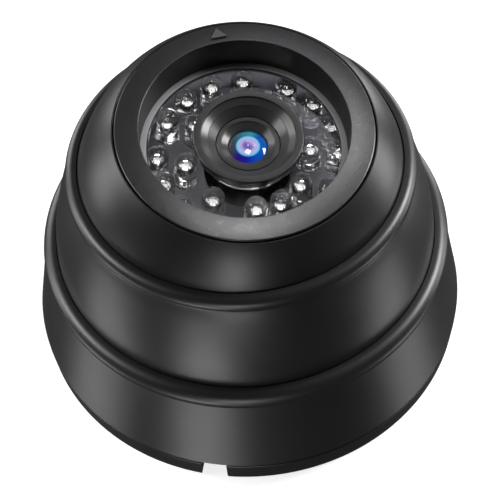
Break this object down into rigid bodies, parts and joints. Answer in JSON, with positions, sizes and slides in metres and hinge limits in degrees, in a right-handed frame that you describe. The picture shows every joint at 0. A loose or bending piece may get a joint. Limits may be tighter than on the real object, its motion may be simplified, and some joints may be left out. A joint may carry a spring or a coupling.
{
  "type": "dome cctv camera",
  "caption": "Indoor dome surveillance camera: round base and twist-off cover, panning ring, tilting ball, turning head with a lens and clear infrared LEDs behind a window.",
  "frame": {"origin": "middle of the base's underside, where the camera stands or is screwed on", "axes": "+Z away from the mounting surface along the pan axis; -Y towards the front, from which the lens is seen"},
  "size_m": [0.1, 0.1, 0.0709],
  "materials": {
    "housing_black": "fine-grained satin black ABS, slightly warm",
    "ball_black": "fine-grained satin black ABS",
    "bezel_black": "satin black ABS, a little smoother than the ball",
    "clear_window": "polished clear acrylic",
    "clear_led": "water-clear epoxy",
    "lens_black": "turned satin black",
    "coated_glass": "polished glass with a blue and violet coating",
    "rubber": "matt black",
    "steel": "zinc-plated",
    "board": "black solder mask on fibreglass",
    "socket_white": "moulded nylon",
    "chip": "glossy sensor cover"
  },
  "bodies": {
    "base": {"base_plate": "housing_black", "cable_grommet": "rubber", "pan_screw": "steel", "pan_washer": "steel"},
    "cover": {"outer_cover": "housing_black"},
    "swivel": {"swivel_ring": "housing_black", "turntable": "housing_black", "turntable_screw_1": "steel", "turntable_screw_2": "steel", "turntable_screw_3": "steel"},
    "ball": {"ball_shell": "ball_black", "tilt_pin_left": "steel", "tilt_pin_right": "steel"},
    "head": {"bezel": "bezel_black", "window_gasket": "rubber", "window": "clear_window", "hood_seal": "rubber", "lens_hood": "lens_black", "retaining_clip": "steel", "head_housing": "housing_black", "cable_bush": "rubber", "housing_screw_1": "steel", "housing_screw_2": "steel", "housing_screw_3": "steel", "led_board": "board", "photocell": "clear_led", "sensor_board": "board", "image_sensor": "chip", "lens_mount": "lens_black", "board_spacer_1": "steel", "board_spacer_2": "steel", "cable_socket": "socket_white", "led_outer_01": "clear_led", "led_outer_02": "clear_led", "led_outer_03": "clear_led", "led_outer_04": "clear_led", "led_outer_05": "clear_led", "led_outer_06": "clear_led", "led_outer_07": "clear_led", "led_outer_08": "clear_led", "led_outer_09": "clear_led", "led_outer_10": "clear_led", "led_outer_11": "clear_led", "led_outer_12": "clear_led", "led_outer_13": "clear_led", "led_outer_14": "clear_led", "led_outer_15": "clear_led", "led_inner_1": "clear_led", "led_inner_2": "clear_led", "led_inner_3": "clear_led", "led_inner_4": "clear_led", "led_inner_5": "clear_led", "led_inner_6": "clear_led", "led_inner_7": "clear_led", "led_inner_8": "clear_led", "led_inner_9": "clear_led"},
    "lens": {"lens_barrel": "lens_black", "front_lens": "coated_glass", "rear_lens": "coated_glass", "lens_lock_ring": "lens_black"}
  },
  "joints": [
    {"name": "cover_twist", "type": "hinge", "parent": "base", "child": "cover", "pos_m": [0, 0, 0.0063], "axis": [0, 0, 1], "range_deg": [0, 20]},
    {"name": "pan", "type": "hinge", "parent": "base", "child": "swivel", "pos_m": [0, 0, 0.0096], "axis": [0, 0, 1], "range_deg": [-175, 175]},
    {"name": "tilt", "type": "hinge", "parent": "swivel", "child": "ball", "pos_m": [0, 0, 0.0425], "axis": [0.8625, 0.506, 0], "range_deg": [-34.9, 21.1]},
    {"name": "roll", "type": "hinge", "parent": "ball", "child": "head", "pos_m": [0, 0, 0.0425], "axis": [0.0608, -0.1036, 0.9928], "range_deg": [-170, 170]},
    {"name": "focus", "type": "hinge", "parent": "head", "child": "lens", "pos_m": [0.00098, 0.0013, 0.04258], "axis": [0.0608, -0.1036, 0.9928], "range_deg": [-180, 180]}
  ]
}
